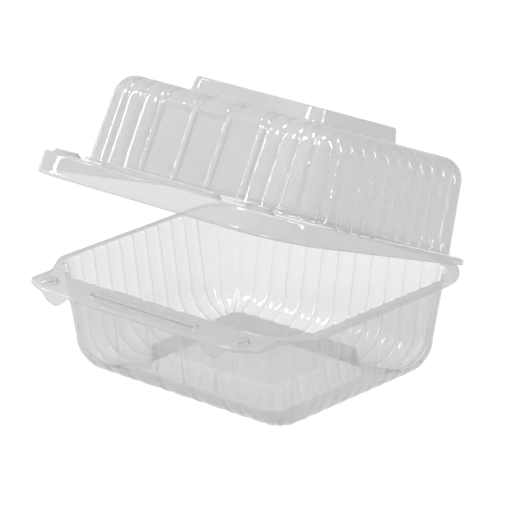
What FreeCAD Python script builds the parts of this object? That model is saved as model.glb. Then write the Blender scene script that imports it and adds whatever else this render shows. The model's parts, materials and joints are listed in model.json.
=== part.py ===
import FreeCAD, Part
import math
import os

os.makedirs("parts", exist_ok=True)
V = FreeCAD.Vector

# A hinged clear food pack, formed from one sheet and shown with its lid part open.
# Millimetres. X runs along the hinge, -Y is the front, Z is up.
# The origin is the centre of the foot, on the surface that the pack stands on.

# Sheet and fold
SHEET = 0.4
LID_OPEN_DEG = 22.9
HINGE_LENGTH = 96.0
HINGE_BEAD_R = 1.2
HINGE_CLEARANCE = 0.3
HINGE_DROP = 1.0

# Flutes, which stiffen every wall: flat crests parted by narrow creases
FLUTE_DEPTH = 1.1
CREASE_SHARE = 0.22
CREASE_FADE = 0.4
SIDE_PITCH = 8.7
BACK_PITCH = 9.6
CORNER_PITCH = 11.3
BROAD_PANEL_W = 15.6
BROAD_RIB_W = 3.6

# Tray walls
BODY_W = 142.0
BODY_D = 122.5
BODY_CORNER_R = 23.0
WALL_DRAFT = 4.8
BOTTOM_R = 17.0
BOTTOM_STEPS = 4
RIM_HEIGHT = 48.5

# Tray flange, with an ear and a notch at each front corner
RIM_W = 152.0
FRONT_FLANGE = 18.5
BACK_FLANGE = 7.0
RIM_CORNER_R = 27.5
LIP_DEPTH = 1.8
LIP_BEND = 0.9
EAR_SET_IN = 9.0
EAR_TURN_DEG = 35.0
EAR_CORNER_R = 5.0
NOTCH_BACK = 20.0
NOTCH_R = 3.0
SIDE_BACK = 34.0
SIDE_TURN_R = 12.0

# Lugs that hang from the front lip
LUG_X = 46.0
LUG_W = 15.0
LUG_DROP = 4.5

# Recess under the floor
RECESS_W = 80.0
RECESS_D = 66.0
RECESS_CORNER_R = 10.0
RECESS_DEPTH = 10.5
RECESS_DRAFT = 2.0
RECESS_BEND = 1.6
RECESS_FLUTE_DEPTH = 0.7

# Snap studs and lock bar on the front flange
STUD_X = 56.0
STUD_SET_BACK = 8.0
STUD_R = 4.0
STUD_HEIGHT = 1.8
STUD_DRAFT = 0.9
BAR_LENGTH = 62.0
BAR_W = 6.0
SNAP_CLEARANCE = 0.5

# Lid dome and its plateau
DOME_W = 138.0
DOME_D = 116.5
DOME_SET_IN_BACK = 5.8
DOME_CORNER_R = 20.0
DOME_HEIGHT = 41.3
DOME_DRAFT = 2.8
SHOULDER_R = 10.0
SHOULDER_STEPS = 3
PLATEAU_W = 77.5
PLATEAU_D = 62.5
PLATEAU_HEIGHT = 6.8
PLATEAU_CORNER_R = 8.0
PLATEAU_DRAFT = 0.8
PLATEAU_BEND = 1.4

# Lid flange and skirt
LID_OVERHANG = 1.0
SKIRT_FRONT_DEPTH = 10.1
SKIRT_FLARE = 0.6
SKIRT_BEND = 1.4
FLANGE_GAP = 0.5

# Working values shared by both halves
CUT = 1.0
RIM_FRONT_Y = -BODY_D / 2 - FRONT_FLANGE
RIM_BACK_Y = BODY_D / 2 + BACK_FLANGE
AXIS_Y = RIM_BACK_Y + HINGE_DROP
AXIS_Z = RIM_HEIGHT - HINGE_DROP
STUD_Y = RIM_FRONT_Y + STUD_SET_BACK
LID_UNDER_Z = RIM_HEIGHT + FLANGE_GAP
LID_TOP_Z = LID_UNDER_Z + SHEET


def even_flutes(length, pitch):
    """Split a stretch of wall into equal flutes of about the given pitch."""
    count = max(1, round(length / pitch))
    return [("flute", 1.0 / count)] * count


def front_flutes(length):
    """Two narrow flutes at each end, and three broad flat panels between ribs."""
    broad = 3 * BROAD_PANEL_W + 4 * BROAD_RIB_W
    narrow = (length - broad) / 4
    rib = ("flute", BROAD_RIB_W / length)
    panel = ("panel", BROAD_PANEL_W / length)
    ends = [("flute", narrow / length)] * 2
    return ends + [rib, panel] * 3 + [rib] + ends


def ring_pattern(ring, broad_front):
    """The flutes of the eight stretches of a rounded rectangle, from the front, anticlockwise."""
    half_w, y0, y1, r = ring
    straight_x = 2 * (half_w - r)
    corner = even_flutes(r * math.pi / 2, CORNER_PITCH)
    front = front_flutes(straight_x) if broad_front else even_flutes(straight_x, SIDE_PITCH)
    side = even_flutes(y1 - y0 - 2 * r, SIDE_PITCH)
    back = even_flutes(straight_x, BACK_PITCH)
    return [front, corner, side, corner, back, corner, side, corner]


def ring_place(ring, stretch, fraction):
    """A point on a rounded rectangle and its outward direction."""
    half_w, y0, y1, r = ring
    centres = [(half_w - r, y0 + r), (half_w - r, y1 - r), (-half_w + r, y1 - r), (-half_w + r, y0 + r)]
    quarter = stretch // 2
    on_corner = stretch % 2
    angle = math.radians(90.0 * (quarter - 1) + (90.0 * fraction if on_corner else 0.0))
    out = V(math.cos(angle), math.sin(angle), 0)
    end = V(*centres[quarter], 0) + out * r
    if on_corner:
        return end, out
    start = V(*centres[quarter - 1], 0) + out * r
    return start + (end - start) * fraction, out


def fluted_section(pattern, ring, z, depth, tilt=0.0):
    """The points of one section: flat crests on the ring, creases set back along the normal."""
    points = []

    def add(stretch, fraction, back):
        point, out = ring_place(ring, stretch, fraction)
        points.append(point - out * (back * math.cos(tilt)) + V(0, 0, z + back * math.sin(tilt)))

    for stretch, flutes in enumerate(pattern):
        start = 0.0
        for kind, share in flutes:
            add(stretch, start, depth)
            if kind == "flute":
                add(stretch, start + share * CREASE_SHARE, 0.0)
                add(stretch, start + share * (1 - CREASE_SHARE), 0.0)
            start += share
    return points


def inset_ring(ring, inset):
    half_w, y0, y1, r = ring
    return (half_w - inset, y0 + inset, y1 - inset, r - inset)


def faceted_solid(sections):
    """A solid through sections of equally many points, with flat facets between them."""
    count = len(sections[0])
    points = [point for section in sections for point in section]
    facets = []
    for level in range(len(sections) - 1):
        for i in range(count):
            a = level * count + i
            b = level * count + (i + 1) % count
            c = b + count
            d = a + count
            if points[a].distanceToPoint(points[c]) < points[b].distanceToPoint(points[d]):
                facets += [(a, b, c), (a, c, d)]
            else:
                facets += [(a, b, d), (b, c, d)]
    for section, first in ((sections[0], 0), (sections[-1], len(points) - count)):
        hub = len(points)
        points.append(sum(section, V()) * (1.0 / count))
        for i in range(count):
            rim = (first + i, first + (i + 1) % count)
            facets.append((hub,) + (rim if first else rim[::-1]))
    shape = Part.Shape()
    shape.makeShapeFromMesh((points, facets), 0.0001)
    solid = Part.makeSolid(shape)
    if solid.Volume < 0:
        solid.reverse()
    return solid.removeSplitter()


def corner_bend(before, corner, after, inset):
    """The start, middle and end of one rounded corner of an outline that is moved inwards."""
    place = V(corner[0], corner[1], 0)
    along_in = (place - V(before[0], before[1], 0)).normalize()
    along_out = (V(after[0], after[1], 0) - place).normalize()
    left_in = V(-along_in.y, along_in.x, 0)
    left_out = V(-along_out.y, along_out.x, 0)
    place = place + (left_in + left_out) * (inset / (1 + left_in.dot(left_out)))
    turn = math.atan2(along_in.cross(along_out).z, along_in.dot(along_out))
    r = corner[2] - math.copysign(inset, turn)
    reach = r * math.tan(abs(turn) / 2)
    inner = (along_out - along_in).normalize()
    middle = place + inner * (r / math.cos(turn / 2) - r)
    return place - along_in * reach, middle, place + along_out * reach


def rounded_wire(corners, inset, z):
    """A closed outline through corners given anticlockwise as x, y and radius."""
    count = len(corners)
    lift = V(0, 0, z)
    bends = [corner_bend(corners[i - 1], corners[i], corners[(i + 1) % count], inset) for i in range(count)]
    edges = []
    for i, (start, middle, end) in enumerate(bends):
        edges.append(Part.Arc(start + lift, middle + lift, end + lift).toShape())
        next_start = bends[(i + 1) % count][0]
        if end.distanceToPoint(next_start) > Part.Precision.approximation():
            edges.append(Part.LineSegment(end + lift, next_start + lift).toShape())
    return Part.Wire(edges)


def rounded_solid(corners, levels):
    """A solid through rounded outlines: each level is an inset and a height."""
    return Part.makeLoft([rounded_wire(corners, inset, z) for inset, z in levels], True, True)


def rectangle(half_w, y0, y1, r):
    return [(half_w, y0, r), (half_w, y1, r), (-half_w, y1, r), (-half_w, y0, r)]


def rounding(steps):
    """A rounded edge in steps from wall to flat: bend, and the crease's share and tilt."""
    for step in range(steps + 1):
        bend = math.radians(90.0 * step / steps)
        share = 1.0 - CREASE_FADE * (step / steps) ** 2
        yield bend, share, bend if step < steps else 0.0


def tray_skin(skin):
    """The solid inside the tray's outer skin, or inside its inner skin at one sheet in."""
    ring = (BODY_W / 2, -BODY_D / 2, BODY_D / 2, BODY_CORNER_R)
    pattern = ring_pattern(ring, True)
    top = inset_ring(ring, skin)
    sections = [fluted_section(pattern, top, RIM_HEIGHT, FLUTE_DEPTH)]
    if skin:
        sections.insert(0, fluted_section(pattern, top, RIM_HEIGHT + CUT, FLUTE_DEPTH))
    turn_r = BOTTOM_R - skin
    for bend, share, tilt in rounding(BOTTOM_STEPS):
        inset = WALL_DRAFT + skin + turn_r * (1 - math.cos(bend))
        z = BOTTOM_R - turn_r * math.sin(bend)
        sections.append(fluted_section(pattern, inset_ring(ring, inset), z, FLUTE_DEPTH * share, tilt))
    return faceted_solid(sections)


def recess_block(skin):
    """The pocket under the floor, or the same block one sheet larger on every side."""
    ring = (RECESS_W / 2 + skin, -RECESS_D / 2 - skin, RECESS_D / 2 + skin, RECESS_CORNER_R + skin)
    pattern = ring_pattern(ring, False)
    top = RECESS_DEPTH + skin
    levels = [
        (0.0, -CUT, RECESS_FLUTE_DEPTH),
        (0.0, 0.0, RECESS_FLUTE_DEPTH),
        (RECESS_DRAFT, top - RECESS_BEND, RECESS_FLUTE_DEPTH),
        (RECESS_DRAFT + RECESS_BEND, top, RECESS_FLUTE_DEPTH / 2),
    ]
    return faceted_solid([fluted_section(pattern, inset_ring(ring, inset), z, d) for inset, z, d in levels])


def dome_skin(skin):
    """The solid inside the lid dome's outer or inner skin, with the plateau, lid closed."""
    y1 = RIM_BACK_Y - DOME_SET_IN_BACK
    ring = (DOME_W / 2, y1 - DOME_D, y1, DOME_CORNER_R)
    pattern = ring_pattern(ring, True)
    foot = LID_UNDER_Z - (CUT if skin else 0.0)
    top = LID_TOP_Z + DOME_HEIGHT
    sections = [fluted_section(pattern, inset_ring(ring, skin), foot, FLUTE_DEPTH)]
    turn_r = SHOULDER_R - skin
    for bend, share, tilt in rounding(SHOULDER_STEPS):
        inset = DOME_DRAFT + skin + turn_r * (1 - math.cos(bend))
        z = top - SHOULDER_R + turn_r * math.sin(bend)
        sections.append(fluted_section(pattern, inset_ring(ring, inset), z, FLUTE_DEPTH * share, -tilt))
    centre_y = y1 - DOME_D / 2
    plateau = rectangle(PLATEAU_W / 2, centre_y - PLATEAU_D / 2, centre_y + PLATEAU_D / 2, PLATEAU_CORNER_R)
    levels = [
        (skin, top - SHEET - CUT),
        (skin + PLATEAU_DRAFT, top + PLATEAU_HEIGHT - PLATEAU_BEND - skin),
        (skin + PLATEAU_DRAFT + PLATEAU_BEND, top + PLATEAU_HEIGHT - skin),
    ]
    return faceted_solid(sections).fuse(rounded_solid(plateau, levels))


def rim_corners():
    """The tray flange in plan: rounded, with an ear and a notch at each front corner."""
    half = RIM_W / 2
    turn = math.radians(EAR_TURN_DEG)
    front_x = half - RIM_CORNER_R + RIM_CORNER_R * math.tan(turn / 2)
    ear_x = half - EAR_SET_IN
    ear_run = ear_x - (half - RIM_CORNER_R) - RIM_CORNER_R * math.sin(turn)
    ear_y = RIM_FRONT_Y + RIM_CORNER_R * (1 - math.cos(turn)) + ear_run * math.tan(turn)
    right = [
        (front_x, RIM_FRONT_Y, RIM_CORNER_R),
        (ear_x, ear_y, EAR_CORNER_R),
        (ear_x, RIM_FRONT_Y + NOTCH_BACK, NOTCH_R),
        (half, RIM_FRONT_Y + SIDE_BACK, SIDE_TURN_R),
        (half, RIM_BACK_Y, RIM_CORNER_R),
    ]
    return right + [(-x, y, r) for x, y, r in reversed(right)]


def rounded_edge(skin, radius, top):
    """Levels of a rounded top edge, outer skin or one sheet in, as insets and heights."""
    bend = radius - skin
    eased = bend * (1 - math.sqrt(0.5))
    return [(skin + bend, top - skin), (skin + eased, top - skin - eased), (skin, top - skin - bend)]


def rim_block(skin, depth):
    """The solid under the flange and its rounded lip, outer or inner skin."""
    bottom = RIM_HEIGHT - depth - (CUT if skin else 0.0)
    return rounded_solid(rim_corners(), rounded_edge(skin, LIP_BEND, RIM_HEIGHT) + [(skin, bottom)])


def tray_flange():
    """The flat flange with its turned-down lip and the two lugs at the front."""
    flange = rim_block(0.0, LIP_DEPTH).cut(rim_block(SHEET, LIP_DEPTH))
    drop = LIP_DEPTH + LUG_DROP
    wall = rim_block(0.0, drop).cut(rim_block(SHEET, drop))
    lug_r = (LUG_W ** 2 / 4 + LUG_DROP ** 2) / (2 * LUG_DROP)
    near = RIM_FRONT_Y - CUT
    reach = SHEET + 2 * CUT
    for x in (-LUG_X, LUG_X):
        disc = Part.makeCylinder(lug_r, reach, V(x, near, RIM_HEIGHT - drop + lug_r), V(0, 1, 0))
        below = Part.makeBox(LUG_W, reach, drop - LIP_BEND, V(x - LUG_W / 2, near, RIM_HEIGHT - drop))
        flange = flange.fuse(wall.common(disc.common(below)))
    return flange


def stud(x, z, grow, skin):
    """A low round stud, or its hollow one sheet smaller."""
    r = STUD_R + grow - skin
    return Part.makeCone(r, r - STUD_DRAFT, STUD_HEIGHT, V(x, STUD_Y, z))


def lock_bar(z, grow, skin):
    """A long low bar with round ends, or its hollow one sheet smaller."""
    half_d = BAR_W / 2 + grow - skin
    corners = rectangle(BAR_LENGTH / 2 + grow - skin, STUD_Y - half_d, STUD_Y + half_d, half_d)
    return rounded_solid(corners, [(0.0, z), (STUD_DRAFT, z + STUD_HEIGHT)])


def snaps(z, grow, skin):
    return [stud(-STUD_X, z, grow, skin), stud(STUD_X, z, grow, skin), lock_bar(z, grow, skin)]


def hinge_bead():
    """The rounded fold bead on the tray's back edge, open towards the tray underneath."""
    start = V(-HINGE_LENGTH / 2, AXIS_Y, AXIS_Z)
    along = V(1, 0, 0)
    bead = Part.makeCylinder(HINGE_BEAD_R, HINGE_LENGTH, start, along)
    bead = bead.cut(Part.makeCylinder(HINGE_BEAD_R - SHEET, HINGE_LENGTH, start, along))
    corner = V(-HINGE_LENGTH / 2, AXIS_Y - HINGE_BEAD_R, AXIS_Z - HINGE_BEAD_R)
    return bead.cut(Part.makeBox(HINGE_LENGTH, 2 * HINGE_BEAD_R, HINGE_BEAD_R, corner))


def make_tray():
    """The fluted tray with its raised floor, flange, snaps and fold bead."""
    tray = tray_skin(0.0).cut(recess_block(0.0)).fuse(tray_flange())
    for block in snaps(RIM_HEIGHT, 0.0, 0.0):
        tray = tray.fuse(block)
    tray = tray.cut(tray_skin(SHEET).cut(recess_block(SHEET)))
    for block in snaps(RIM_HEIGHT - SHEET, 0.0, SHEET):
        tray = tray.cut(block)
    return tray.fuse(hinge_bead())


def lid_cap(skin):
    """The solid under the lid's flange and skirt, outer or inner skin, lid closed."""
    half = RIM_W / 2 + LID_OVERHANG
    corners = rectangle(half, RIM_FRONT_Y - LID_OVERHANG, AXIS_Y, RIM_CORNER_R + LID_OVERHANG)
    bottom = LID_UNDER_Z - SKIRT_FRONT_DEPTH - (2 * CUT if skin else CUT)
    levels = rounded_edge(skin, SKIRT_BEND, LID_TOP_Z) + [(skin - SKIRT_FLARE, bottom)]
    return rounded_solid(corners, levels)


def below_skirt_line():
    """A block under the skirt's lower edge, which runs straight from the fold to the front."""
    run = AXIS_Y - RIM_FRONT_Y + LID_OVERHANG
    slope = math.degrees(math.atan2(SKIRT_FRONT_DEPTH - FLANGE_GAP - HINGE_DROP, run))
    size = 2 * run
    block = Part.makeBox(size, size, size, V(-size / 2, AXIS_Y + run / 2 - size, AXIS_Z - size))
    block.rotate(V(0, AXIS_Y, AXIS_Z), V(1, 0, 0), slope)
    return block


def make_lid():
    """The domed lid with its skirt and the hollows that snap over the tray's studs."""
    lid = lid_cap(0.0).cut(lid_cap(SHEET)).cut(below_skirt_line())
    lid = lid.fuse(dome_skin(0.0))
    grow = SNAP_CLEARANCE + SHEET
    for block in snaps(LID_TOP_Z, grow, 0.0):
        lid = lid.fuse(block)
    lid = lid.cut(dome_skin(SHEET))
    for block in snaps(LID_UNDER_Z, grow, SHEET):
        lid = lid.cut(block)
    clear = HINGE_BEAD_R + HINGE_CLEARANCE
    start = V(-HINGE_LENGTH / 2 - HINGE_CLEARANCE, AXIS_Y - clear, LID_UNDER_Z - 2 * clear)
    lid = lid.cut(Part.makeBox(HINGE_LENGTH + 2 * HINGE_CLEARANCE, 2 * clear, 2 * clear, start))
    lid.rotate(V(0, AXIS_Y, AXIS_Z), V(1, 0, 0), -LID_OPEN_DEG)
    return lid


def write(name, shape):
    solid = shape.removeSplitter()
    print(name, "solids", len(solid.Solids), "valid", solid.isValid(), "volume", round(solid.Volume, 1))
    solid.exportStep("parts/" + name + ".step")


write("base_tray", make_tray())
write("lid", make_lid())
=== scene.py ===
# %% [markdown]
# # Dressing a clear hinged food pack
# The real pack is one sheet of clear plastic, softened by heat and drawn into a mould.
# The solid model already gives every size. Here each half is rebuilt as one smooth formed sheet,
# because rounded flutes and soft bends are what catch the light on clear plastic.
# The steps are: load the fixed frame, place the camera, make the flutes, form the tray and the lid,
# add the small pressed features, make the clear material, and light the set.

# %% Load the frame
import json
import math

import bpy
import numpy as np
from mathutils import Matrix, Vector

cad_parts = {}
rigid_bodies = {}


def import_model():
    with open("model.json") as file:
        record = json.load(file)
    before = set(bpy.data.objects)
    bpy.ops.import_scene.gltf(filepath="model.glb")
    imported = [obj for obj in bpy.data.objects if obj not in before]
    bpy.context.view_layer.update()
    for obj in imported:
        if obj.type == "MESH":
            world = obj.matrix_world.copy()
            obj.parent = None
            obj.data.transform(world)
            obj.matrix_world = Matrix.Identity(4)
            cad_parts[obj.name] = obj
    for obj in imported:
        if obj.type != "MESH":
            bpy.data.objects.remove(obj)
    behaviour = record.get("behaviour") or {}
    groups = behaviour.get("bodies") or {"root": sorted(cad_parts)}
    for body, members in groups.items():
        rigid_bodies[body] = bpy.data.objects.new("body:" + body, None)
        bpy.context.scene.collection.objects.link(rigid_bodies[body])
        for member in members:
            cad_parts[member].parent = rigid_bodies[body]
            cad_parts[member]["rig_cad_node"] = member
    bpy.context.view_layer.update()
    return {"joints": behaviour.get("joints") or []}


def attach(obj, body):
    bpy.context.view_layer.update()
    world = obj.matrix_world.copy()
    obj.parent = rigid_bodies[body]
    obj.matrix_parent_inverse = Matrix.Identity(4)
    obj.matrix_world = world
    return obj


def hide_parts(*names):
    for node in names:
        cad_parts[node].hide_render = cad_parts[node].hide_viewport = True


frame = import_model()
hinge = frame["joints"][0]

# %% [markdown]
# ## Camera
# The photograph was taken with a long lens from the front right, about twenty degrees above the table.
# A camera can be set by eye, or worked out from the object's own corners. Here it was worked out:
# the direction and the distance are the values that put the rims where the photograph has them.

# %% Place the camera
MM = 0.001
VIEW_AZIMUTH = math.radians(41.19)
VIEW_ELEVATION = math.radians(20.14)
VIEW_DISTANCE = 1.6324
VIEW_TARGET = Vector((7.22 * MM, -0.99 * MM, 52.06 * MM))
LENS = 251.7
SENSOR = 36.0


def place_camera():
    """A camera that looks at the target from the photograph's direction."""
    away = Vector((
        math.sin(VIEW_AZIMUTH) * math.cos(VIEW_ELEVATION),
        -math.cos(VIEW_AZIMUTH) * math.cos(VIEW_ELEVATION),
        math.sin(VIEW_ELEVATION),
    ))
    data = bpy.data.cameras.new("photo_camera")
    data.lens = LENS
    data.sensor_width = SENSOR
    data.clip_end = 50.0
    camera = bpy.data.objects.new("photo_camera", data)
    camera.location = VIEW_TARGET + away * VIEW_DISTANCE
    camera.rotation_euler = (-away).to_track_quat("-Z", "Y").to_euler()
    bpy.context.scene.collection.objects.link(camera)
    bpy.context.scene.camera = camera
    return camera


print("camera at", [round(v, 3) for v in place_camera().location])

# %% [markdown]
# ## Sizes
# These repeat the sizes of the solid model, so that each smooth sheet lies where its solid does.
# The fold's place and the angle at which the lid stands open come from the frame's own joint.

# %% Sizes of the sheet, tray and lid
SHEET = 0.4 * MM
FLUTE_DEPTH = 1.1 * MM
SIDE_PITCH = 8.7 * MM
BACK_PITCH = 9.6 * MM
CORNER_PITCH = 11.3 * MM
BROAD_PANEL_W = 15.6 * MM
BROAD_RIB_W = 3.6 * MM

BODY_W = 142.0 * MM
BODY_D = 122.5 * MM
BODY_CORNER_R = 23.0 * MM
WALL_DRAFT = 4.8 * MM
BOTTOM_R = 17.0 * MM
RIM_HEIGHT = 48.5 * MM

RIM_W = 152.0 * MM
FRONT_FLANGE = 18.5 * MM
BACK_FLANGE = 7.0 * MM
RIM_CORNER_R = 27.5 * MM
LIP_DEPTH = 1.8 * MM
LIP_BEND = 0.9 * MM
EAR_SET_IN = 9.0 * MM
EAR_TURN = math.radians(35.0)
EAR_CORNER_R = 5.0 * MM
NOTCH_BACK = 20.0 * MM
NOTCH_R = 3.0 * MM
SIDE_BACK = 34.0 * MM
SIDE_TURN_R = 12.0 * MM
LUG_X = 46.0 * MM
LUG_W = 15.0 * MM
LUG_DROP = 4.5 * MM

RECESS_W = 80.0 * MM
RECESS_D = 66.0 * MM
RECESS_CORNER_R = 10.0 * MM
RECESS_DEPTH = 10.5 * MM
RECESS_DRAFT = 2.0 * MM
RECESS_BEND = 1.6 * MM
RECESS_FLUTE_DEPTH = 0.7 * MM

STUD_X = 56.0 * MM
STUD_SET_BACK = 8.0 * MM
STUD_R = 4.0 * MM
STUD_HEIGHT = 1.8 * MM
STUD_DRAFT = 0.9 * MM
BAR_LENGTH = 62.0 * MM
BAR_W = 6.0 * MM
SNAP_CLEARANCE = 0.5 * MM

DOME_W = 138.0 * MM
DOME_D = 116.5 * MM
DOME_SET_IN_BACK = 5.8 * MM
DOME_CORNER_R = 20.0 * MM
DOME_HEIGHT = 41.3 * MM
DOME_DRAFT = 2.8 * MM
SHOULDER_R = 10.0 * MM
PLATEAU_W = 77.5 * MM
PLATEAU_D = 62.5 * MM
PLATEAU_HEIGHT = 6.8 * MM
PLATEAU_CORNER_R = 8.0 * MM
PLATEAU_DRAFT = 0.8 * MM
PLATEAU_BEND = 1.4 * MM

LID_OVERHANG = 1.0 * MM
SKIRT_FRONT_DEPTH = 10.1 * MM
SKIRT_FLARE = 0.6 * MM
SKIRT_BEND = 1.4 * MM
FLANGE_GAP = 0.5 * MM
HINGE_LENGTH = 96.0 * MM
HINGE_BEAD_R = 1.2 * MM
HINGE_CLEARANCE = 0.3 * MM

RIM_FRONT_Y = -BODY_D / 2 - FRONT_FLANGE
RIM_BACK_Y = BODY_D / 2 + BACK_FLANGE
AXIS_Y = hinge["pos_m"][1]
AXIS_Z = hinge["pos_m"][2]
LID_OPEN = math.radians(-hinge["range_deg"][0])
STUD_Y = RIM_FRONT_Y + STUD_SET_BACK
LID_TOP = RIM_HEIGHT + FLANGE_GAP + SHEET
print("lid open by", round(math.degrees(LID_OPEN), 1), "degrees about y", AXIS_Y, "z", AXIS_Z)

# %% [markdown]
# ## Flutes
# A flat plastic wall would buckle, so the mould presses flutes into it: nearly flat crests with a narrow
# crease between each pair. The front has broad flat panels between slim ribs.
# Each flute could be a separate strip, but one wall is one sheet. So every column of the mesh gets a place
# round the ring and a groove value, which is 1 in a crease and 0 on a crest, and each row of the mesh is
# pushed in by that value. Columns stand closer together in the creases, where the sheet bends most.
# A second value, the pillow, rises evenly from the middle of the crest to the crease. Round the bottom and
# the shoulder it takes over, because there the mould makes each flute a rounded bump.

# %% Columns round the wall
CREASE_SHARE = 0.2
CREASE_STEPS = (0.0, 0.045, 0.09, 0.14, 0.2, 0.35, 0.5, 0.65, 0.8, 0.86, 0.91, 0.955)
PANEL_STEPS = (0.0, 0.03, 0.07, 0.12, 0.2, 0.3, 0.4, 0.5, 0.6, 0.7, 0.8, 0.88, 0.93, 0.97)
PILLOW_SHAPE = 0.6
GROOVE_EASE = 1.2


def even_flutes(length, pitch):
    count = max(1, round(length / pitch))
    return [("flute", 1.0 / count)] * count


def front_flutes(length):
    """Two narrow flutes at each end, and three broad flat panels between ribs."""
    narrow = (length - 3 * BROAD_PANEL_W - 4 * BROAD_RIB_W) / 4
    rib = ("flute", BROAD_RIB_W / length)
    panel = ("panel", BROAD_PANEL_W / length)
    ends = [("flute", narrow / length)] * 2
    return ends + [rib, panel] * 3 + [rib] + ends


def groove(distance):
    """1 at a crease, easing to 0 at the edge of the crest."""
    s = np.clip(distance / CREASE_SHARE, 0.0, 1.0)
    return (1 - s) ** 2 * (1 + GROOVE_EASE * s)


def ring_pattern(ring):
    """The flutes of the eight stretches of a rounded rectangle, from the front, anticlockwise."""
    half_w, y0, y1, r = ring
    corner = even_flutes(r * math.pi / 2, CORNER_PITCH)
    side = even_flutes(y1 - y0 - 2 * r, SIDE_PITCH)
    back = even_flutes(2 * (half_w - r), BACK_PITCH)
    return [front_flutes(2 * (half_w - r)), corner, side, corner, back, corner, side, corner]


def columns(pattern):
    """Stretch, fraction along it, groove value, panel mark and pillow value of every column."""
    found = []
    for stretch, flutes in enumerate(pattern):
        start = 0.0
        for kind, share in flutes:
            for step in CREASE_STEPS if kind == "flute" else PANEL_STEPS:
                value = groove(min(step, 1 - step)) if kind == "flute" else 1.0
                pillow = 1 - math.sin(math.pi * step) ** PILLOW_SHAPE
                found.append((stretch, start + share * step, value, float(kind == "panel"), pillow))
            start += share
    return np.array(found).T


def place_on(ring, stretch, fraction):
    """Places on a rounded rectangle and the outward directions there, for all columns at once."""
    half_w, y0, y1, r = ring
    centre_x = half_w - r
    centres = np.array([(centre_x, y0 + r), (centre_x, y1 - r), (-centre_x, y1 - r), (-centre_x, y0 + r)])
    quarter = stretch.astype(int) // 2
    on_corner = stretch.astype(int) % 2
    angle = np.radians(90.0 * (quarter - 1) + 90.0 * fraction * on_corner)
    out = np.stack([np.cos(angle), np.sin(angle)], 1)
    end = centres[quarter]
    start = np.where(on_corner[:, None] == 1, end, centres[quarter - 1])
    return start + (end - start) * fraction[:, None] + out * r, out


def inset_ring(ring, inset):
    half_w, y0, y1, r = ring
    return (half_w - inset, y0 + inset, y1 - inset, r - inset)


def raised(plan, z):
    """Plan points with a height each."""
    return np.column_stack([plan, np.broadcast_to(z, len(plan))])


def fluted_row(ring, cols, inset, z, depth, tilt=0.0):
    """One row of the mesh: on the ring, with the creases pushed in along the surface's normal."""
    plan, out = place_on(inset_ring(ring, inset), cols[0], cols[1])
    back = cols[2] * depth
    return raised(plan - out * (back * math.cos(tilt))[:, None], z + back * math.sin(tilt))


# %% [markdown]
# ## From rows to a sheet
# Every half of the pack is a closed stack of rows, from its outer edge to its middle. Quads join each row
# to the next, one flat face closes the middle, and a Solidify modifier gives the sheet its thickness.
# Offsetting one skin keeps the wall even everywhere, as a drawn sheet nearly is.

# %% Mesh helpers
def sheet_object(name, rows, thickness=SHEET):
    """A smooth sheet through closed rows of equally many points, with its last row filled."""
    count = len(rows[0])
    points = np.concatenate(rows)
    grid = np.arange(len(points)).reshape(len(rows), count)
    ahead = np.roll(grid, -1, axis=1)
    quads = np.stack([grid[:-1], ahead[:-1], ahead[1:], grid[1:]], -1).reshape(-1, 4)
    mesh = bpy.data.meshes.new(name)
    mesh.from_pydata(points.tolist(), [], quads.tolist() + [grid[-1].tolist()])
    mesh.polygons.foreach_set("use_smooth", [True] * len(mesh.polygons))
    mesh.update()
    sheet = bpy.data.objects.new(name, mesh)
    bpy.context.scene.collection.objects.link(sheet)
    sheet["rows"] = len(rows)
    solid = sheet.modifiers.new("sheet", "SOLIDIFY")
    solid.thickness = thickness
    solid.offset = -1.0
    print(name, "rows", len(rows), "columns", count, "faces", len(mesh.polygons))
    return sheet


def sweep(start, stop, steps):
    """Angles from start to stop in degrees, without the first, in radians."""
    return np.radians(np.linspace(start, stop, steps + 1)[1:])


# %% [markdown]
# ## The tray's rim
# The flange has an ear and a notch at each front corner, where a thumb lifts the lid.
# Its outline is a polygon with rounded corners. Each stretch of the outline is matched to the same stretch
# of the wall's ring, so that the rows of the flange run from one to the other without crossing.

# %% Outline of the rim
BEND_POINTS = 24


def rim_corners():
    """The rim's corners in plan, anticlockwise from the front right, as x, y and radius."""
    half = RIM_W / 2
    front_x = half - RIM_CORNER_R + RIM_CORNER_R * math.tan(EAR_TURN / 2)
    ear_x = half - EAR_SET_IN
    ear_run = ear_x - (half - RIM_CORNER_R) - RIM_CORNER_R * math.sin(EAR_TURN)
    ear_y = RIM_FRONT_Y + RIM_CORNER_R * (1 - math.cos(EAR_TURN)) + ear_run * math.tan(EAR_TURN)
    right = [
        (front_x, RIM_FRONT_Y, RIM_CORNER_R),
        (ear_x, ear_y, EAR_CORNER_R),
        (ear_x, RIM_FRONT_Y + NOTCH_BACK, NOTCH_R),
        (half, RIM_FRONT_Y + SIDE_BACK, SIDE_TURN_R),
        (half, RIM_BACK_Y, RIM_CORNER_R),
    ]
    return right + [(-x, y, r) for x, y, r in reversed(right)]


def bend_points(before, corner, after):
    """Points and outward directions round one rounded corner."""
    place = np.array(corner[:2])
    along_in = place - np.array(before[:2])
    along_in = along_in / np.linalg.norm(along_in)
    along_out = np.array(after[:2]) - place
    along_out = along_out / np.linalg.norm(along_out)
    turn = math.atan2(along_in[0] * along_out[1] - along_in[1] * along_out[0], along_in @ along_out)
    start = place - along_in * corner[2] * math.tan(abs(turn) / 2)
    side = math.copysign(1.0, turn)
    centre = start + side * corner[2] * np.array([-along_in[1], along_in[0]])
    first = math.atan2(-along_in[0], along_in[1])
    angles = first + np.linspace(0, turn, BEND_POINTS)
    out = np.stack([np.cos(angles), np.sin(angles)], 1)
    return centre + side * corner[2] * out, out


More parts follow.
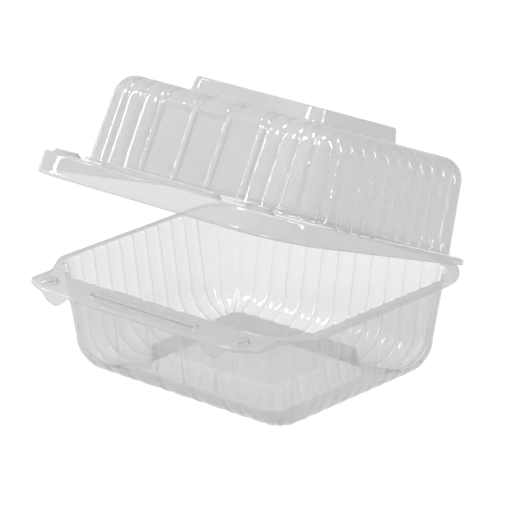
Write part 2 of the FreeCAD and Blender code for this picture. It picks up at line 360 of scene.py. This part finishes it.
def rim_stretches():
    """Points and directions of the rim, cut into the same eight stretches as the wall's ring."""
    corners = rim_corners()
    count = len(corners)
    bends = [bend_points(corners[i - 1], corners[i], corners[(i + 1) % count]) for i in range(count)]
    groups = [bends[0:4], bends[4:5], bends[5:6], bends[6:10]]
    turned = [tuple(np.concatenate(part) for part in zip(*group)) for group in groups]
    stretches = []
    for i, (points, out) in enumerate(turned):
        last_points, last_out = turned[i - 1]
        stretches.append((np.array([last_points[-1], points[0]]), np.array([last_out[-1], out[0]])))
        stretches.append((points, out))
    return stretches


def place_on_rim(stretch, fraction):
    """Places on the rim and the outward directions there, by length along each stretch."""
    plan = np.zeros((len(stretch), 2))
    out = np.zeros((len(stretch), 2))
    for index, (points, directions) in enumerate(rim_stretches()):
        chosen = stretch == index
        length = np.concatenate([[0.0], np.cumsum(np.linalg.norm(np.diff(points, axis=0), axis=1))])
        wanted = fraction[chosen] * length[-1]
        for axis in (0, 1):
            plan[chosen, axis] = np.interp(wanted, length, points[:, axis])
            out[chosen, axis] = np.interp(wanted, length, directions[:, axis])
    return plan, out / np.linalg.norm(out, axis=1)[:, None]


# %% [markdown]
# ## The tray
# From the outer edge inwards the sheet is the turned-down lip, the flange, the bend into the wall, the
# fluted wall, the large rounding at the bottom, the foot ring and the raised floor over the stacking recess.
# The upper skin is modelled, and the thickness goes downwards and outwards.

# %% Form the tray
WALL_BEND = 1.3 * MM
FOOT_BEND = 1.2 * MM
FLOOR_MARGIN = 3.0 * MM
TRAY_FLANGE_ROWS = 8
CREASE_FADE = 0.3
PUFF_START = 25.0
PUFF_RUN = 30.0
SHOULDER_PUFF = 0.7


def crease_share(angle):
    """How deep the creases still are round a rounded edge."""
    return 1.0 - CREASE_FADE * (angle / (math.pi / 2)) ** 2


def puff(cols, share):
    """Columns whose flat crests turn into rounded pillows by the given share."""
    return np.array([cols[0], cols[1], cols[2] * (1 - share) + cols[4] * share])


def lip_rows(plan, out, top, bend, low, flare=0.0):
    """Rows from a turned-down edge at height low, up and round the bend to the flange."""
    rows = []
    full = np.max(top - bend - low)
    for share in np.linspace(1.0, 0.0, 5):
        z = top - bend - share * (top - bend - low)
        rows.append(raised(plan + out * (flare * (top - bend - z) / full)[:, None], z))
    for angle in sweep(0, 90, 4):
        rows.append(raised(plan - out * bend * (1 - math.cos(angle)), top - bend * (1 - math.sin(angle))))
    return rows


def between(outer, inner, steps):
    """Rows from one row to another, without the first."""
    return [outer + (inner - outer) * share for share in np.linspace(0, 1, steps + 1)[1:]]


def tray_rows():
    ring = inset_ring((BODY_W / 2, -BODY_D / 2, BODY_D / 2, BODY_CORNER_R), SHEET)
    cols = columns(ring_pattern((BODY_W / 2, -BODY_D / 2, BODY_D / 2, BODY_CORNER_R)))
    plan, out = place_on_rim(cols[0], cols[1])
    lug = LUG_DROP * np.clip(1 - ((np.abs(plan[:, 0]) - LUG_X) / (LUG_W / 2)) ** 2, 0, 1)
    lug = np.where(plan[:, 1] < RIM_FRONT_Y + LIP_BEND, lug, 0.0)
    rows = lip_rows(plan, out, RIM_HEIGHT, LIP_BEND, RIM_HEIGHT - LIP_DEPTH - lug)
    edge = fluted_row(ring, cols, -WALL_BEND, RIM_HEIGHT, FLUTE_DEPTH)
    rows += between(rows[-1], edge, TRAY_FLANGE_ROWS)
    for angle in sweep(0, 90, 4):
        z = RIM_HEIGHT - WALL_BEND * (1 - math.cos(angle))
        rows.append(fluted_row(ring, cols, -WALL_BEND * (1 - math.sin(angle)), z, FLUTE_DEPTH))
    for share in np.linspace(0, 1, 5)[1:]:
        z = RIM_HEIGHT - WALL_BEND - share * (RIM_HEIGHT - WALL_BEND - BOTTOM_R)
        rows.append(fluted_row(ring, cols, WALL_DRAFT * share, z, FLUTE_DEPTH))
    turn_r = BOTTOM_R - SHEET
    for angle in sweep(0, 90, 16):
        inset = WALL_DRAFT + turn_r * (1 - math.cos(angle))
        z = BOTTOM_R - turn_r * math.sin(angle)
        puffed = puff(cols, np.clip((math.degrees(angle) - PUFF_START) / PUFF_RUN, 0, 1))
        rows.append(fluted_row(ring, puffed, inset, z, FLUTE_DEPTH * crease_share(angle), angle))
    return rows + floor_rows(cols, rows[-1])


def floor_rows(cols, foot):
    """Rows over the foot ring, up the wall of the stacking recess and over the raised floor."""
    half_w, half_d = RECESS_W / 2 + SHEET, RECESS_D / 2 + SHEET
    ring = (half_w, -half_d, half_d, RECESS_CORNER_R + SHEET)
    pattern = [even_flutes(2 * (half_w - RECESS_CORNER_R), SIDE_PITCH), even_flutes(1.0, 1.0)]
    pattern = pattern + [even_flutes(2 * (half_d - RECESS_CORNER_R), SIDE_PITCH), even_flutes(1.0, 1.0)]
    own = np.array([groove_at(pattern[int(s) % 4], f) for s, f in zip(cols[0], cols[1])])
    cols = np.array([cols[0], cols[1], own])
    edge = fluted_row(ring, cols, -FOOT_BEND, SHEET, RECESS_FLUTE_DEPTH)
    rows = between(foot, edge, 5)
    for angle in sweep(0, 90, 3):
        z = SHEET + FOOT_BEND * (1 - math.cos(angle))
        rows.append(fluted_row(ring, cols, -FOOT_BEND * (1 - math.sin(angle)), z, RECESS_FLUTE_DEPTH))
    top = RECESS_DEPTH + SHEET
    for share in np.linspace(0, 1, 4)[1:]:
        z = SHEET + FOOT_BEND + share * (top - RECESS_BEND - SHEET - FOOT_BEND)
        rows.append(fluted_row(ring, cols, RECESS_DRAFT * share, z, RECESS_FLUTE_DEPTH))
    for angle in sweep(0, 90, 5):
        inset = RECESS_DRAFT + RECESS_BEND * (1 - math.cos(angle))
        z = top - RECESS_BEND * (1 - math.sin(angle))
        rows.append(fluted_row(ring, cols, inset, z, RECESS_FLUTE_DEPTH * crease_share(angle), -angle))
    rows.append(fluted_row(ring, cols, RECESS_DRAFT + RECESS_BEND + FLOOR_MARGIN, top, 0.0))
    return rows


def groove_at(flutes, fraction):
    """The groove value at a fraction of a stretch that has its own even flutes."""
    place = fraction * len(flutes) % 1.0
    return groove(min(place, 1 - place))


tray = sheet_object("clear_tray", tray_rows())
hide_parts("base_tray")
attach(tray, "tray")

# %% [markdown]
# ## The lid
# The lid is formed closed and then turned about the fold, as the real one is. From the outer edge inwards
# it is the skirt, which is deepest at the front, the flange, the fluted dome with its rounded shoulder,
# and the flat plateau on top, which fits the recess of another pack.
# The lid's flange rises over the tray's studs and lock bar in the same sheet, so that the shut lid clears
# them. The broad panels end in a step just above the start of the shoulder.

# %% Form the lid
DOME_FOOT_BEND = 1.3 * MM
TOP_MARGIN = 4.0 * MM
LID_FLANGE_ROWS = 32
LIFT_SPARE = 1.4 * MM
LIFT_GROW = SNAP_CLEARANCE + LIFT_SPARE
SHOULDER_DEGREES = (2, 4, 10, 16, 22, 30, 38, 46, 54, 62, 70, 80, 90)
PANEL_START = math.radians(4.0)
PANEL_STEP = math.radians(12.0)


def lid_ring():
    half = RIM_W / 2 + LID_OVERHANG
    return (half, RIM_FRONT_Y - LID_OVERHANG, AXIS_Y, RIM_CORNER_R + LID_OVERHANG)


def skirt_rows(cols):
    plan, out = place_on(lid_ring(), cols[0], cols[1])
    run = AXIS_Y - RIM_FRONT_Y + LID_OVERHANG
    fall = (AXIS_Z - (RIM_HEIGHT + FLANGE_GAP - SKIRT_FRONT_DEPTH)) / run
    low = AXIS_Z + (plan[:, 1] - AXIS_Y) * fall
    rows = lip_rows(plan, out, LID_TOP, SKIRT_BEND, low, SKIRT_FLARE)
    at_fold = (cols[0] == 4) & (np.abs(plan[:, 0]) < HINGE_LENGTH / 2 + HINGE_CLEARANCE)
    for row in rows:
        row[at_fold, 2] = np.maximum(row[at_fold, 2], LID_TOP - SHEET / 2)
    return rows


def shoulder_row(ring, cols, angle, top):
    """A row round the dome's shoulder, where the broad panels end before the flutes do."""
    inset = DOME_DRAFT + SHOULDER_R * (1 - math.cos(angle))
    z = top - SHOULDER_R * (1 - math.sin(angle))
    panel_share = np.clip(1 - (angle - PANEL_START) / PANEL_STEP, 0, 1)
    share = SHOULDER_PUFF * math.sin(2 * angle)
    soft = (cols[2] * (1 - share) + cols[4] * share) * crease_share(angle)
    own = np.where(cols[3] > 0, cols[2] * panel_share, soft)
    return fluted_row(ring, np.array([cols[0], cols[1], own]), inset, z, FLUTE_DEPTH, -angle)


def snap_lift(plan):
    """Height of the lid's hollow studs and bar over points of its flange, with sloping sides."""
    x = np.abs(plan[:, 0])
    dy = plan[:, 1] - STUD_Y
    bar = BAR_W / 2 + LIFT_GROW - np.hypot(np.maximum(x - (BAR_LENGTH - BAR_W) / 2, 0), dy)
    stud = STUD_R + LIFT_GROW - np.hypot(x - STUD_X, dy)
    return STUD_HEIGHT * np.clip(np.maximum(bar, stud) / STUD_DRAFT, 0, 1)


def lid_rows():
    y1 = RIM_BACK_Y - DOME_SET_IN_BACK
    ring = (DOME_W / 2, y1 - DOME_D, y1, DOME_CORNER_R)
    cols = columns(ring_pattern(ring))
    rows = skirt_rows(cols)
    flange = between(rows[-1], fluted_row(ring, cols, -DOME_FOOT_BEND, LID_TOP, FLUTE_DEPTH), LID_FLANGE_ROWS)
    for row in flange:
        row[:, 2] += snap_lift(row[:, :2])
    rows += flange
    for angle in sweep(0, 90, 4):
        z = LID_TOP + DOME_FOOT_BEND * (1 - math.cos(angle))
        rows.append(fluted_row(ring, cols, -DOME_FOOT_BEND * (1 - math.sin(angle)), z, FLUTE_DEPTH))
    top = LID_TOP + DOME_HEIGHT
    for share in np.linspace(0, 1, 6)[1:]:
        z = LID_TOP + DOME_FOOT_BEND + share * (DOME_HEIGHT - SHOULDER_R - DOME_FOOT_BEND)
        rows.append(fluted_row(ring, cols, DOME_DRAFT * share, z, FLUTE_DEPTH))
    for angle in np.radians(SHOULDER_DEGREES):
        rows.append(shoulder_row(ring, cols, angle, top))
    rows.append(fluted_row(ring, cols, DOME_DRAFT + SHOULDER_R + TOP_MARGIN, top, 0.0))
    return rows + plateau_rows(cols, rows[-1], y1 - DOME_D / 2, top)


def plateau_rows(cols, dome_top, centre_y, base):
    """Rows over the flat of the dome and up the plateau."""
    ring = (PLATEAU_W / 2, centre_y - PLATEAU_D / 2, centre_y + PLATEAU_D / 2, PLATEAU_CORNER_R)
    smooth = np.array([cols[0], cols[1], cols[2] * 0.0])
    rows = between(dome_top, fluted_row(ring, smooth, -FOOT_BEND, base, 0.0), 4)
    for angle in sweep(0, 90, 4):
        z = base + FOOT_BEND * (1 - math.cos(angle))
        rows.append(fluted_row(ring, smooth, -FOOT_BEND * (1 - math.sin(angle)), z, 0.0))
    top = base + PLATEAU_HEIGHT
    rows.append(fluted_row(ring, smooth, PLATEAU_DRAFT, top - PLATEAU_BEND, 0.0))
    for angle in sweep(0, 90, 5):
        inset = PLATEAU_DRAFT + PLATEAU_BEND * (1 - math.cos(angle))
        rows.append(fluted_row(ring, smooth, inset, top - PLATEAU_BEND * (1 - math.sin(angle)), 0.0))
    rows.append(fluted_row(ring, smooth, PLATEAU_DRAFT + PLATEAU_BEND + FLOOR_MARGIN, top, 0.0))
    return rows


def opened(rows):
    """Rows of the closed lid, turned about the fold to where the lid stands."""
    turned = []
    for row in rows:
        y = row[:, 1] - AXIS_Y
        z = row[:, 2] - AXIS_Z
        new_y = y * math.cos(LID_OPEN) + z * math.sin(LID_OPEN)
        new_z = z * math.cos(LID_OPEN) - y * math.sin(LID_OPEN)
        turned.append(np.column_stack([row[:, 0], new_y + AXIS_Y, new_z + AXIS_Z]))
    return turned


lid = sheet_object("clear_lid", opened(lid_rows()))
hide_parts("lid")
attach(lid, "lid")

# %% [markdown]
# ## Snap studs and lock bar
# Two round studs and a long bar stand up from the tray's front flange, under the hollows in the lid.
# They are low pressed bosses: a small fillet at the foot, a sloping side and a rounded top.
# Each is a short stack of rows of its own, so that its edge stays crisp at any size of mesh.

# %% Form the snaps
BOSS_FILLET = 0.5 * MM
BOSS_BEND = 0.5 * MM
BOSS_SINK = 0.15 * MM
BOSS_CORNER_STEPS = 14
BOSS_SIDE_STEPS = 6


def plain_columns(per_corner, per_side):
    """Columns for a small rounded outline with no flutes."""
    found = []
    for stretch in range(8):
        count = per_corner if stretch % 2 else per_side
        found += [(stretch, i / count, 0.0) for i in range(count)]
    return np.array(found).T


def boss_rows(ring):
    """A low boss that stands on the tray's flange."""
    cols = plain_columns(BOSS_CORNER_STEPS, BOSS_SIDE_STEPS)
    top = RIM_HEIGHT + STUD_HEIGHT
    rows = [fluted_row(ring, cols, -BOSS_FILLET, RIM_HEIGHT - BOSS_SINK, 0.0)]
    for angle in sweep(0, 60, 3):
        z = RIM_HEIGHT + BOSS_FILLET * (1 - math.cos(angle))
        rows.append(fluted_row(ring, cols, -BOSS_FILLET * (1 - math.sin(angle)), z, 0.0))
    for angle in sweep(30, 90, 4):
        inset = STUD_DRAFT - BOSS_BEND * math.cos(angle)
        rows.append(fluted_row(ring, cols, inset, top - BOSS_BEND * (1 - math.sin(angle)), 0.0))
    rows.append(fluted_row(ring, cols, STUD_DRAFT + BOSS_BEND, top, 0.0))
    return rows


def add_snap(name, half_w, half_d, shift):
    """A stud or a bar with round ends, moved along the flange."""
    rows = boss_rows((half_w, STUD_Y - half_d, STUD_Y + half_d, half_d))
    snap = sheet_object(name, [row + np.array([shift, 0.0, 0.0]) for row in rows])
    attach(snap, "tray")


add_snap("tray_left_stud", STUD_R, STUD_R, -STUD_X)
add_snap("tray_right_stud", STUD_R, STUD_R, STUD_X)
add_snap("tray_bar", BAR_LENGTH / 2, BAR_W / 2, 0.0)

# %% [markdown]
# ## The fold
# The two halves meet in a thin fold along the back. It is a half-round bead of the same sheet, which rides
# with the tray, and the lid's back edge turns round it.

# %% Form the fold bead
BEAD_STEPS = 20
BEAD_LENGTH_STEPS = 32


def fold_bead():
    """Three quarters of a round bead along the back edge, as one thin swept strip."""
    angles = np.radians(np.linspace(180, -90, BEAD_STEPS + 1))
    xs = np.linspace(-HINGE_LENGTH / 2, HINGE_LENGTH / 2, BEAD_LENGTH_STEPS + 1)
    section = [(AXIS_Y + HINGE_BEAD_R * math.cos(a), AXIS_Z + HINGE_BEAD_R * math.sin(a)) for a in angles]
    points = [(x, y, z) for x in xs for y, z in section]
    count = len(angles)
    faces = []
    for i in range(len(xs) - 1):
        for j in range(count - 1):
            a = i * count + j
            faces.append((a, a + count, a + count + 1, a + 1))
    mesh = bpy.data.meshes.new("fold_bead")
    mesh.from_pydata(points, [], faces)
    mesh.polygons.foreach_set("use_smooth", [True] * len(mesh.polygons))
    mesh.update()
    bead = bpy.data.objects.new("fold_bead", mesh)
    bpy.context.scene.collection.objects.link(bead)
    solid = bead.modifiers.new("sheet", "SOLIDIFY")
    solid.thickness = SHEET
    solid.offset = -1.0
    return bead


bead = fold_bead()
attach(bead, "tray")
print("fold bead", round(HINGE_LENGTH / MM), "mm long")

# %% [markdown]
# ## Clear plastic
# Clear sheet shows in three ways: it dims what is behind it a little, it goes grey where it turns away from
# the eye, and it mirrors the lamps. Real glass rendering bends every ray, which is slow and noisy through
# eight walls, and such a thin sheet hardly bends light at all. So the material is a glossy surface with a
# low alpha, and Layer Weight raises the alpha and darkens the colour where the sheet is seen edge on.
# Only the camera sees the full alpha. Light passes almost freely, so that the walls don't shade each other.
# The lid looks greyer than the tray, and the turned edges and flanges greyer still, so each has its own
# alpha. Faint noise in the bump gives the slight waves of a drawn sheet.

# %% Make the clear material
FACE_ALPHA = 0.26
LID_ALPHA = 0.4
SKIRT_ALPHA = 0.5
CUT_ALPHA = 0.9
EDGE_ALPHA = 0.98
EDGE_POWER = 3.0
FACE_GREY = 0.4
EDGE_GREY = 0.27
LIGHT_SHARE = 0.15
EDGE_ROWS = 8
ROUGHNESS = 0.07
GLOSS = 0.9
WAVE_SCALE = 90.0
WAVE_DETAIL = 3.0
WAVE_STRENGTH = 0.35
WAVE_DEPTH = 1.2 * MM


def node(tree, kind, place, **values):
    made = tree.nodes.new(kind)
    made.location = place
    for name, value in values.items():
        setattr(made, name, value)
    return made


def clear_material(name, face_alpha):
    material = bpy.data.materials.new(name)
    material.use_nodes = True
    tree = material.node_tree
    shader = tree.nodes["Principled BSDF"]
    shader.inputs["Roughness"].default_value = ROUGHNESS
    shader.inputs["IOR"].default_value = 1.5
    shader.inputs["Specular IOR Level"].default_value = GLOSS
    facing = node(tree, "ShaderNodeLayerWeight", (-900, 200))
    facing.inputs["Blend"].default_value = 0.5
    power = node(tree, "ShaderNodeMath", (-700, 200), operation="POWER")
    power.inputs[1].default_value = EDGE_POWER
    tree.links.new(facing.outputs["Facing"], power.inputs[0])
    alpha = node(tree, "ShaderNodeMapRange", (-480, 60))
    alpha.inputs["To Min"].default_value = face_alpha
    alpha.inputs["To Max"].default_value = EDGE_ALPHA
    tree.links.new(power.outputs[0], alpha.inputs["Value"])
    path = node(tree, "ShaderNodeLightPath", (-900, 0))
    passed = node(tree, "ShaderNodeMapRange", (-480, -180))
    passed.inputs["To Min"].default_value = LIGHT_SHARE
    passed.inputs["To Max"].default_value = 1.0
    tree.links.new(path.outputs["Is Camera Ray"], passed.inputs["Value"])
    weighed = node(tree, "ShaderNodeMath", (-240, 0), operation="MULTIPLY")
    tree.links.new(alpha.outputs["Result"], weighed.inputs[0])
    tree.links.new(passed.outputs["Result"], weighed.inputs[1])
    tree.links.new(weighed.outputs[0], shader.inputs["Alpha"])
    tone = node(tree, "ShaderNodeValToRGB", (-480, 360))
    tone.color_ramp.elements[0].color = (FACE_GREY, FACE_GREY, FACE_GREY * 1.01, 1)
    tone.color_ramp.elements[1].color = (EDGE_GREY, EDGE_GREY, EDGE_GREY * 1.02, 1)
    tree.links.new(power.outputs[0], tone.inputs["Fac"])
    tree.links.new(tone.outputs["Color"], shader.inputs["Base Color"])
    coords = node(tree, "ShaderNodeTexCoord", (-1100, -300))
    waves = node(tree, "ShaderNodeTexNoise", (-900, -300))
    waves.inputs["Scale"].default_value = WAVE_SCALE
    waves.inputs["Detail"].default_value = WAVE_DETAIL
    tree.links.new(coords.outputs["Object"], waves.inputs["Vector"])
    bump = node(tree, "ShaderNodeBump", (-480, -300))
    bump.inputs["Strength"].default_value = WAVE_STRENGTH
    bump.inputs["Distance"].default_value = WAVE_DEPTH
    tree.links.new(waves.outputs["Fac"], bump.inputs["Height"])
    tree.links.new(bump.outputs["Normal"], shader.inputs["Normal"])
    return material


def mark_turned(piece, rows):
    """Give the outermost rows of a sheet, its turned edge and flange, the second material."""
    count = sum(1 for p in piece.data.polygons if len(p.vertices) == 4) // (piece["rows"] - 1)
    marks = np.zeros(len(piece.data.polygons), dtype=np.int32)
    marks[:count * rows] = 1
    piece.data.polygons.foreach_set("material_index", marks)


clear = clear_material("clear_sheet", FACE_ALPHA)
turned = clear_material("turned_edge", SKIRT_ALPHA)
cut = clear_material("cut_edge", CUT_ALPHA)
for piece in [o for o in bpy.data.objects if o.type == "MESH" and "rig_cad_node" not in o]:
    for material in (clear, turned, cut):
        piece.data.materials.append(material)
    piece.modifiers["sheet"].material_offset_rim = 2
lid.data.materials[0] = clear_material("clear_lid_sheet", LID_ALPHA)
for piece, flange_rows in ((tray, TRAY_FLANGE_ROWS), (lid, LID_FLANGE_ROWS)):
    mark_turned(piece, EDGE_ROWS + flange_rows)
    piece.modifiers["sheet"].material_offset_rim = 1
print("clear plastic on", clear.users, "pieces")

# %% [markdown]
# ## The set
# Soft light from large lamps suits clear plastic, and narrow lamps give the thin bright streaks on the ribs.
# The floor is white paper: half of it glows at the strength of the white background, so that it fades into
# it, and half of it takes light, so that it keeps the pack's faint shadow.

# %% Floor, world and lamps
FLOOR_SIZE = 12.0
FLOOR_Z = -0.2 * MM
FLOOR_GLOW = 0.6
PAPER_WHITE = (0.93, 0.93, 0.93, 1)
WORLD_LIGHT = 0.45


def white_floor():
    half = FLOOR_SIZE / 2
    mesh = bpy.data.meshes.new("floor")
    corners = [(-half, -half, FLOOR_Z), (half, -half, FLOOR_Z), (half, half, FLOOR_Z), (-half, half, FLOOR_Z)]
    mesh.from_pydata(corners, [], [(0, 1, 2, 3)])
    floor = bpy.data.objects.new("floor", mesh)
    bpy.context.scene.collection.objects.link(floor)
    material = bpy.data.materials.new("white_paper")
    material.use_nodes = True
    tree = material.node_tree
    tree.nodes.clear()
    paper = node(tree, "ShaderNodeBsdfDiffuse", (0, 0))
    paper.inputs["Color"].default_value = PAPER_WHITE
    glow = node(tree, "ShaderNodeEmission", (0, -200))
    glow.inputs["Strength"].default_value = 1.0
    path = node(tree, "ShaderNodeLightPath", (-400, 300))
    seen = node(tree, "ShaderNodeMath", (-200, 300), operation="MAXIMUM")
    seen_or_bent = node(tree, "ShaderNodeMath", (0, 300), operation="MAXIMUM")
    share = node(tree, "ShaderNodeMath", (200, 300), operation="MULTIPLY")
    share.inputs[1].default_value = FLOOR_GLOW
    mix = node(tree, "ShaderNodeMixShader", (400, 0))
    output = node(tree, "ShaderNodeOutputMaterial", (600, 0))
    tree.links.new(path.outputs["Is Camera Ray"], seen.inputs[0])
    tree.links.new(path.outputs["Is Glossy Ray"], seen.inputs[1])
    tree.links.new(seen.outputs[0], seen_or_bent.inputs[0])
    tree.links.new(path.outputs["Is Transmission Ray"], seen_or_bent.inputs[1])
    tree.links.new(seen_or_bent.outputs[0], share.inputs[0])
    tree.links.new(share.outputs[0], mix.inputs["Fac"])
    tree.links.new(paper.outputs[0], mix.inputs[1])
    tree.links.new(glow.outputs[0], mix.inputs[2])
    tree.links.new(mix.outputs[0], output.inputs["Surface"])
    mesh.materials.append(material)
    return floor


def white_world(light):
    """White where it is seen directly or mirrored, and a plain soft light elsewhere."""
    world = bpy.data.worlds.new("white_room")
    bpy.context.scene.world = world
    world.use_nodes = True
    tree = world.node_tree
    background = tree.nodes["Background"]
    path = node(tree, "ShaderNodeLightPath", (-800, 200))
    first = node(tree, "ShaderNodeMath", (-600, 200), operation="MAXIMUM")
    second = node(tree, "ShaderNodeMath", (-400, 200), operation="MAXIMUM")
    strength = node(tree, "ShaderNodeMapRange", (-200, 200))
    strength.inputs["To Min"].default_value = light
    strength.inputs["To Max"].default_value = 1.0
    tree.links.new(path.outputs["Is Camera Ray"], first.inputs[0])
    tree.links.new(path.outputs["Is Glossy Ray"], first.inputs[1])
    tree.links.new(first.outputs[0], second.inputs[0])
    tree.links.new(path.outputs["Is Transmission Ray"], second.inputs[1])
    tree.links.new(second.outputs[0], strength.inputs["Value"])
    tree.links.new(strength.outputs["Result"], background.inputs["Strength"])
    background.inputs["Color"].default_value = (1, 1, 1, 1)


def lamp(name, azimuth, elevation, distance, size, power):
    """A flat soft lamp that points at the pack: angles in degrees, metres and watts."""
    a, e = math.radians(azimuth), math.radians(elevation)
    away = Vector((math.sin(a) * math.cos(e), -math.cos(a) * math.cos(e), math.sin(e)))
    data = bpy.data.lights.new(name, "AREA")
    data.shape = "RECTANGLE"
    data.size, data.size_y = size
    data.energy = power
    made = bpy.data.objects.new(name, data)
    made.location = VIEW_TARGET + away * distance
    made.rotation_euler = (-away).to_track_quat("-Z", "Y").to_euler()
    bpy.context.scene.collection.objects.link(made)
    return made


white_floor()
white_world(WORLD_LIGHT)
lamp("key", -30, 45, 2.0, (0.5, 0.5), 20)
lamp("strip_left", -60, 20, 1.6, (0.12, 1.2), 10)
lamp("strip_right", 95, 30, 1.6, (0.12, 1.2), 10)
lamp("top", 60, 75, 1.8, (0.5, 0.5), 12)
bpy.context.scene.view_settings.view_transform = "Standard"
